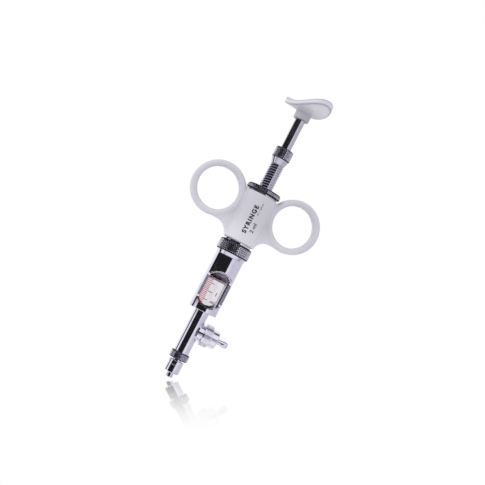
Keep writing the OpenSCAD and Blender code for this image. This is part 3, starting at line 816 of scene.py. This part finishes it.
# %% Red scale on the glass
ML = 1000 / (math.pi * BORE ** 2)
SCALE_LEFT, TICK_END, HALF_END, LONG_END, NUMBER_AT = -7.6, -3.6, -1.9, -0.8, 1.6
TICK_WIDTH, NUMBER_SIZE, NUMBER_WEIGHT = 0.38, 3.0, 0.06
SHORT_TENTHS, LONG_TENTHS = range(2, 18), (5, 10, 15, 20)
scale_zero = glass_low + 0.3
short_ticks, long_ticks = bmesh.new(), bmesh.new()
for tenth in SHORT_TENTHS:
    bar(short_ticks, SCALE_LEFT, TICK_END, scale_zero + tenth * ML / 10, TICK_WIDTH)
for tenth in LONG_TENTHS:
    right = LONG_END if tenth % 10 == 0 else HALF_END
    bar(long_ticks, TICK_END, right, scale_zero + tenth * ML / 10, TICK_WIDTH)
for name, ticks, ink in (("scale_ticks", short_ticks, scale_red),
                         ("scale_long_ticks", long_ticks, number_red)):
    bmesh.ops.solidify(ticks, geom=ticks.faces[:], thickness=-PRINT_THICKNESS)
    piece(name, wrapped(ticks, lambda height: glass_radius), BARREL, "print_red", ink, even=False)
for name, text, volume in (
        ("scale_unit", "ml", 0.5), ("scale_one", "1", 1.0), ("scale_two", "2", 2.0)):
    mark = lettering(text, NUMBER_SIZE, NUMBER_AT, scale_zero + volume * ML, weight=NUMBER_WEIGHT)
    piece(name, wrapped(mark, lambda height: glass_radius), BARREL, "print_red", number_red,
          even=False)
print("one millilitre is", round(ML, 2), "mm of the bore")


# %% [markdown]
# ## Union nut and the ring under the grip
# The large knurled nut pulls the sleeve up against the grip. Under its knurling is a smooth rim, and
# between it and the grip lies a bright ring.

# %% Union nut and ring
union_low, union_high, union_radius = span("coupling_nut")
KNURL_START, UNION_BORE, UNION_THREAD = 77.8, 7.3, 8.0
UNION_PITCH, UNION_DEPTH, UNION_CHAMFER, RING_BORE = 1.40, 0.30, 0.4, 7.25
union_shoulder, union_floor = union_radius - 0.5, union_high - 1
knurl_low, knurl_high = KNURL_START + UNION_CHAMFER, union_high - UNION_CHAMFER
union_sheet = knurled_sheet(union_radius, knurl_low, knurl_high, UNION_PITCH, UNION_DEPTH)
rest_of_nut = [
    (union_shoulder, union_high), (UNION_BORE, union_high), (UNION_BORE, union_floor),
    (UNION_THREAD, union_floor), (UNION_THREAD, KNURL_START),
    (union_shoulder, KNURL_START), (union_radius - UNION_DEPTH, knurl_low)]
piece("union_nut", tidy(carry_rim(union_sheet, knurl_high, rest_of_nut)), BARREL,
      "knurled_chrome", knurled, "coupling_nut", sharp=20, even=False)

rim = turned([(UNION_THREAD, union_low), (sleeve_radius + 0.02, union_low, 0.1),
              (sleeve_radius + 0.52, KNURL_START), (UNION_THREAD, KNURL_START)])
piece("union_nut_rim", rim, BARREL, "chrome", chrome)

ring_low, ring_high, ring_radius = span("seat_ring")
ring = turned([(RING_BORE, ring_low), (ring_radius, ring_low, 0.3), (ring_radius, ring_high, 0.3),
               (RING_BORE, ring_high)])
piece("bright_ring", ring, BARREL, "chrome", chrome, "seat_ring")


# %% [markdown]
# ## Moulded grip and thumb rest
# A copy of the CAD solid is welded, rebuilt as an even skin by a voxel remesh and then relaxed, which
# rounds every edge and fills every inside corner, as a mould does. Relaxing pulls every outer edge
# in, so the skin stays inside the CAD's box. Its edges are marked as `rim` for the finish.

# %% Softened copies
SHADED_EDGE_BEND = 14.0


def softened(node, voxel, passes):
    """A CAD node's solid with an even skin, softened edges and its edges marked as `rim`."""
    bm = bmesh.new()
    bm.from_mesh(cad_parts[node].data)
    bmesh.ops.remove_doubles(bm, verts=bm.verts[:], dist=1e-6)
    bm = worked(bm, ("REMESH", {"mode": "VOXEL", "voxel_size": voxel * MM}),
                ("SMOOTH", {"factor": 0.5, "iterations": passes}))
    bmesh.ops.recalc_face_normals(bm, faces=bm.faces[:])
    # This edge mask feeds the painted shade on the thumb rest's edges.
    rim = bm.verts.layers.float.new("rim")
    bm.verts.index_update()
    bends = [max(edge.calc_face_angle_signed() for edge in vert.link_edges) for vert in bm.verts]
    for vert in bm.verts:
        near = [bends[vert.index]] + [bends[edge.other_vert(vert).index] for edge in vert.link_edges]
        vert[rim] = min(1.0, max(0.0, sum(near) / len(near) / math.radians(SHADED_EDGE_BEND)))
    return bm


grip = softened("handle", 0.45, 14)
piece("ring_grip", grip, BARREL, "handle_plastic", grip_plastic, "handle", sharp=80, even=False)
thumb = softened("thumb_rest", 0.3, 24)
piece("thumb_saddle", thumb, "plunger", "thumb_plastic", thumb_plastic, "thumb_rest",
      sharp=80, even=False)


# %% Plain marks on the grip
BODY_LOW, BODY_HIGH = 9.2, 10.2


def grip_radius(height):
    """Radius of the grip's conical body at a height."""
    share = (height - handle_bottom) / (handle_top - handle_bottom)
    return BODY_LOW + (BODY_HIGH - BODY_LOW) * share


for name, text, size, across, up, weight, spacing in (
        ("kind_mark", "SYRINGE", 3.5, -1.2, 14.2, 0.15, 1.3),
        ("volume_mark", "2 ml", 3.3, 2.8, 10.4, 0.05, 1.0),
        ("range_mark", "0.1 - 2.0 ml", 1.4, 1.4, 21.6, 0.02, 1.1)):
    mark = lettering(text, size, across, handle_bottom + up, math.pi / 2, weight, spacing)
    piece(name, wrapped(mark, grip_radius), BARREL, "print_grey", mark_grey, even=False)


# %% [markdown]
# ## Dose setting: lock disc, threaded sleeve and head
# Turning the head screws the threaded sleeve up out of the grip, and the disc locks it. The thread
# is a real helix: one pitch of its section is spun with a rise per step, trimmed flat at both ends,
# and its rims are carried on to the neck and the head.

# %% Top bush and lock disc
bush_low, bush_high, _ = span("top_bush")
BUSH_RADIUS, FLANGE_RADIUS, BUSH_BORE = 6.7, 8.9, 4.25
bush = turned([
    (BUSH_BORE, bush_low), (BUSH_RADIUS, bush_low, 0.2), (BUSH_RADIUS, handle_top),
    (FLANGE_RADIUS, handle_top, 0.2), (FLANGE_RADIUS, bush_high, 0.2), (BUSH_BORE, bush_high)])
piece("top_bush_turned", bush, BARREL, "chrome", chrome, "top_bush")
disc_low, disc_high, disc_radius = span("lock_disc")
DISH_MOUTH, DISH_RADIUS, dish_floor = 5.6, 5.3, disc_high - 0.25
lock = knurled_ring(
    disc_radius, disc_low, disc_high, pitch=1.0, depth=0.26, chamfer=0.5,
    inside=[(DISH_MOUTH, disc_high), (DISH_RADIUS, dish_floor),
            (BUSH_BORE, dish_floor), (BUSH_BORE, disc_low)])
piece("lock_disc_knurled", lock, "lock_disc", "knurled_chrome", knurled, "lock_disc",
      sharp=20, even=False)

# %% Helical thread
screw_low, screw_high, head_radius = span("dose_screw")
SCREW_RADIUS, THREAD_DEPTH, PITCH, ROD_BORE, STEPS = 4.15, 0.42, 1.5, 3.25, 60
HEAD_LENGTH, NECK_LENGTH, NECK_TOP = 6.5, 3.4, 5.15
head_low = screw_high - HEAD_LENGTH
neck_low = head_low - NECK_LENGTH


def thread(bottom, top):
    """A thread's surface from bottom to top, in millimetres."""
    root = SCREW_RADIUS - THREAD_DEPTH
    start = bottom - PITCH
    section = [(SCREW_RADIUS, 0), (SCREW_RADIUS, 0.46), (root, 0.64), (root, 0.82),
               (SCREW_RADIUS, 1.0)]
    bm = outline([(radius, start + part * PITCH) for radius, part in section], closed=False)
    turns = math.ceil((top - bottom) / PITCH) + 2
    spun(bm, STEPS * turns, 2 * math.pi * turns, PITCH * MM / STEPS)
    bmesh.ops.remove_doubles(bm, verts=bm.verts[:], dist=2e-6)
    for height, side_out in ((bottom, -1), (top, 1)):
        bmesh.ops.bisect_plane(
            bm, geom=bm.verts[:] + bm.edges[:] + bm.faces[:], dist=1e-6,
            clear_outer=True, plane_co=(0, 0, height * MM),
            plane_no=(0, 0, side_out))
    return bm


screw = carry_rim(
    thread(screw_low, neck_low), neck_low,
    [(SCREW_RADIUS - 0.1, neck_low + 0.1), (NECK_TOP, head_low), (ROD_BORE, head_low),
     (ROD_BORE, screw_low)])
screw = tidy(carry_rim(screw, screw_low, [(ROD_BORE, screw_low)]))
piece("threaded_sleeve", screw, "dose_screw", "chrome", shaded_chrome, "dose_screw",
      sharp=30, even=False)
HEAD_MOUTH, GUIDE_RADIUS = 4.4, 4.3
guide_top, guide_floor = screw_high - 0.5, head_low + 1.6
head = knurled_ring(
    head_radius, head_low, screw_high, pitch=1.05, depth=0.24, chamfer=0.4,
    inside=[(HEAD_MOUTH, screw_high), (ROD_BORE, screw_high - 0.3),
            (ROD_BORE, guide_top), (GUIDE_RADIUS, guide_top),
            (GUIDE_RADIUS, guide_floor), (ROD_BORE, guide_floor),
            (ROD_BORE, head_low)])
piece("dose_head", head, "dose_screw", "knurled_chrome", knurled, sharp=20, even=False)


# %% [markdown]
# ## Plunger: rod, piston and O-rings
# The rod is one turning with its stop collar. The piston's two grooves hold O-rings, each a small
# circle spun round the axis. They seal on the bore, where the edge of the piston shows in the window.

# %% Rod, piston and rings
rod_low, rod_high, _ = span("piston_rod")
piston_low, piston_high, piston_radius = span("piston")
ROD_RADIUS, THIN_ROD, STUD, COLLAR_RADIUS, COLLAR_THICKNESS = 3.05, 2.6, 1.8, 4.0, 1.2
collar_at = screw_low - 0.1 - COLLAR_THICKNESS
collar_end = collar_at + COLLAR_THICKNESS
rod = turned([
    (0, rod_low), (STUD, rod_low, 0.2), (STUD, piston_high), (THIN_ROD, piston_high),
    (THIN_ROD, collar_at), (COLLAR_RADIUS, collar_at, 0.15), (COLLAR_RADIUS, collar_end, 0.15),
    (ROD_RADIUS, collar_end), (ROD_RADIUS, rod_high, 0.2), (0, rod_high)], closed=False)
piece("plunger_rod", rod, "plunger", "chrome", shaded_chrome, "piston_rod")

O_RING_RADIUS, HALF_GROOVE = 0.8, 0.9
ring_low_edge, ring_high_edge, ring_reach = span("piston_rings")
ring_heights = (ring_low_edge + O_RING_RADIUS, ring_high_edge - O_RING_RADIUS)
groove_floor = ring_reach - 2 * O_RING_RADIUS - 0.05
stud_hole, hole_end = STUD + 0.05, rod_low - 0.1
groove_stops = []
for height in ring_heights:
    below, above = height - HALF_GROOVE, height + HALF_GROOVE
    groove_stops += [(piston_radius, below, 0.1), (groove_floor, below), (groove_floor, above),
                     (piston_radius, above, 0.1)]
piston = turned(
    [(0, piston_low), (piston_radius, piston_low, 0.3)] + groove_stops
    + [(piston_radius, piston_high, 0.3), (stud_hole, piston_high),
       (stud_hole, hole_end), (0, hole_end)], closed=False)
piece("piston_turned", piston, "plunger", "piston_metal", piston_steel, "piston")

o_rings = bmesh.new()
for height in ring_heights:
    wire_section(o_rings, ring_reach - O_RING_RADIUS, O_RING_RADIUS, height, 16)
spun(o_rings, 96, use_merge=True)
piece("o_rings", tidy(o_rings), "plunger", "rubber", rubber, "piston_rings", sharp=80, even=False)


# %% [markdown]
# ## Springs
# A spring is its wire's circle spun with a rise per step. Each end has one closed turn, so three
# spins follow each other.

# %% Coil helper and the three springs
CLOSED_PITCH = 1.08


def coil(low, high, reach, wire, turns, steps):
    """A compression spring from low to high whose outside is at reach, in millimetres."""
    closed_pitch = CLOSED_PITCH * wire
    open_pitch = (high - low - wire - 2 * closed_pitch) / (turns - 2)
    bm = bmesh.new()
    wire_section(bm, reach - wire / 2, wire / 2, wire / 2, 10, filled=True)
    section = bm.faces[:]
    for pitch, rounds in ((closed_pitch, 1), (open_pitch, turns - 2), (closed_pitch, 1)):
        last = spun(bm, steps * rounds, 2 * math.pi * rounds, pitch * MM / steps, section)
        section = only(bmesh.types.BMFace, last["geom_last"])
    bmesh.ops.translate(tidy(bm), vec=(0, 0, low * MM), verts=bm.verts[:])
    return bm


def spring(name, node, travel, wire, turns, steps, axis=2):
    """A coil in the place of a CAD spring."""
    low, high, reach = span(node, axis)
    bm = coil(low, high, reach, wire, turns, steps)
    along, anchor = (0, 0, 1), (0, 0, low * MM)
    if axis == 0:
        bm, along, anchor = laid_on_inlet(bm), (1, 0, 0), (low * MM, 0, inlet_height * MM)
    obj = piece(name, bm, BARREL, "spring_steel", spring_wire, node, even=False)
    1 - travel / (high - low)
    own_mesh(obj)


PRESS, LIFT = 16.96, 0.8
spring("return_coil", "return_spring", PRESS, wire=0.8, turns=7, steps=36)
spring("outlet_coil", "outlet_spring", LIFT, wire=0.35, turns=5, steps=24)
spring("inlet_coil", "inlet_spring", LIFT, wire=0.35, turns=5, steps=24, axis=0)


# %% [markdown]
# ## Pieces that keep their CAD shape
# Seals, valve discs, the bush in the grip and the guide sit inside other pieces, and their CAD shape
# is already right. They only get their finish.

# %% Finishes on the inner CAD nodes
inner_finishes = {
    "outlet_seat": rubber, "inlet_seat": rubber, "lower_gasket": rubber,
    "upper_gasket": rubber, "outlet_valve": valve_plastic,
    "inlet_valve": valve_plastic, "rod_guide": valve_plastic,
    "handle_bush": chrome, "spring_seat": chrome}
for node, finish in inner_finishes.items():
    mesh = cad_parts[node].data
    mesh.materials.clear()
    mesh.materials.append(finish)
print(len(inner_finishes), "inner nodes finished")


# %% [markdown]
# ## Studio: floor and light
# The product stands on a clear glossy sheet, tilted to lie level in the picture. Its mirror works
# only in front of the syringe and fades with distance, so a faint image beside the tip is all that
# shows. The room is white, with one dark flag to the left of the camera, whose reflection is the
# black band that makes chrome read as metal. A bright strip parts the flag low down, a dark patch
# lies overhead, and the right is shaded. Only glossy rays see any of it.

# %% Floor
FLOOR_RADIUS, FLOOR_DROP, MIRROR, MIRROR_REACH = 0.32, 0.0012, 0.65, 0.20
MIRROR_FRONT, MIRROR_BACK, FLOOR_ROUGHNESS = -0.022, -0.009, 0.03


def make_floor_finish():
    finish = Finish("floor sheet")
    tree, place = finish.tree, finish.place
    away = finish.node("ShaderNodeVectorMath", {"operation": "LENGTH"}, output=1, i0=place)
    depth = finish.node("ShaderNodeSeparateXYZ", output=1, i0=place)
    near = (finish.ramp(away, 0.0, MIRROR_REACH, 1.0, 0.0)
            * finish.ramp(depth, MIRROR_FRONT, MIRROR_BACK, 1.0, 0.0))
    clear = finish.node("ShaderNodeBsdfTransparent")
    gloss = finish.node("ShaderNodeBsdfGlossy", Color=(1, 1, 1), Roughness=FLOOR_ROUGHNESS)
    sheet = finish.node("ShaderNodeMixShader", i0=near * MIRROR, i1=clear, i2=gloss)
    tree.links.new(sheet.socket, tree.nodes["Material Output"].inputs["Surface"])
    return finish.material


floor_mesh = bmesh.new()
bmesh.ops.create_circle(floor_mesh, cap_ends=True, segments=64, radius=FLOOR_RADIUS)
floor_tilt = Matrix.Rotation(-LEAN, 4, Vector((forward.x, forward.y, 0)).normalized())
bmesh.ops.transform(
    floor_mesh, matrix=Matrix.Translation((0, 0, -FLOOR_DROP)) @ floor_tilt,
    verts=floor_mesh.verts[:])
floor_data = bpy.data.meshes.new("floor")
floor_mesh.to_mesh(floor_data)
floor_mesh.free()
floor_data.materials.append(make_floor_finish())
floor = link(bpy.data.objects.new("floor", floor_data))
print("floor sheet", 2 * FLOOR_RADIUS, "m across")

# %% White room with a dark flag
FLAG_FROM, FLAG_TO, FLAG_EDGE = -120.0, 14.0, 2.5
STRIP_FROM, STRIP_TO, STRIP_EDGE = -100.0, -72.0, 2.0
FLAG_BLACK, ROOM_SHADE, MIRROR_TINT = 0.985, 0.27, (0.93, 0.92, 1.0)
world = bpy.data.worlds.new("studio")
bpy.context.scene.world = world
world.use_nodes = True
room = Graph(world.node_tree)
world.node_tree.nodes.clear()
direction = room.node("ShaderNodeTexCoord", output=0)
split = world.node_tree.nodes.new("ShaderNodeSeparateXYZ")
plug(room.tree, split.inputs[0], direction)
east, north, up = (Wire(room.tree, socket) for socket in split.outputs)
azimuth = room.node("ShaderNodeMath", {"operation": "ARCTAN2"}, i0=east, i1=north * -1.0)
azimuth = azimuth * math.degrees(1)
behind = room.ramp(azimuth.maths("ABSOLUTE", azimuth, 0), 125, 150)
flag = room.band(azimuth, FLAG_FROM, FLAG_TO, FLAG_EDGE)
strip = room.band(azimuth, STRIP_FROM, STRIP_TO, STRIP_EDGE) * room.ramp(up, -0.04, 0.0, 1.0, 0.0)
ceiling = room.ramp(up, 0.87, 0.93) * room.ramp(north, 0.0, 0.1, 1.0, 0.0)
dark = flag * (1 - strip) * room.ramp(up, 0.24, 0.30, 1.0, 0.0) * room.ramp(up, -0.46, -0.34)
dark = dark + ceiling - dark * ceiling
shade = room.ramp(azimuth, 18, 45) * (1 - behind) * ROOM_SHADE
glossy = room.node("ShaderNodeLightPath", output=3)
level = (1 - shade * glossy) * (1 - dark * glossy * FLAG_BLACK)
mirror_tint = room.mix(glossy * (1 - behind), (1.0, 1.0, 1.0), MIRROR_TINT)
background = room.node("ShaderNodeBackground", Color=mirror_tint, Strength=level)
world_output = world.node_tree.nodes.new("ShaderNodeOutputWorld")
world.node_tree.links.new(background.socket, world_output.inputs["Surface"])
bpy.context.scene.view_settings.view_transform = "Standard"
print("dark flag from", FLAG_FROM, "to", FLAG_TO, "degrees")


# %% Soft lamp
def softbox(name, azimuth_degrees, height, size, power, reach=0.6):
    """A square lamp aimed at the middle of the syringe."""
    data = bpy.data.lights.new(name, "AREA")
    data.size, data.energy = size, power
    lamp = bpy.data.objects.new(name, data)
    angle = math.radians(azimuth_degrees)
    spot = Vector((math.sin(angle) * reach, -math.cos(angle) * reach, height))
    lamp.location = spot
    lamp.rotation_euler = (Vector((0, 0, 0.1)) - spot).to_track_quat("-Z", "Y").to_euler()
    lamp.visible_glossy = False
    link(lamp)


softbox("key", -70, 0.45, 0.35, 1.0)
print("lamp placed")


# %% [markdown]
# ## Final update
# The view layer is brought up to date once more. The visual model has to stay inside the CAD
# box.

# %% Update the view layer
bpy.context.view_layer.update()
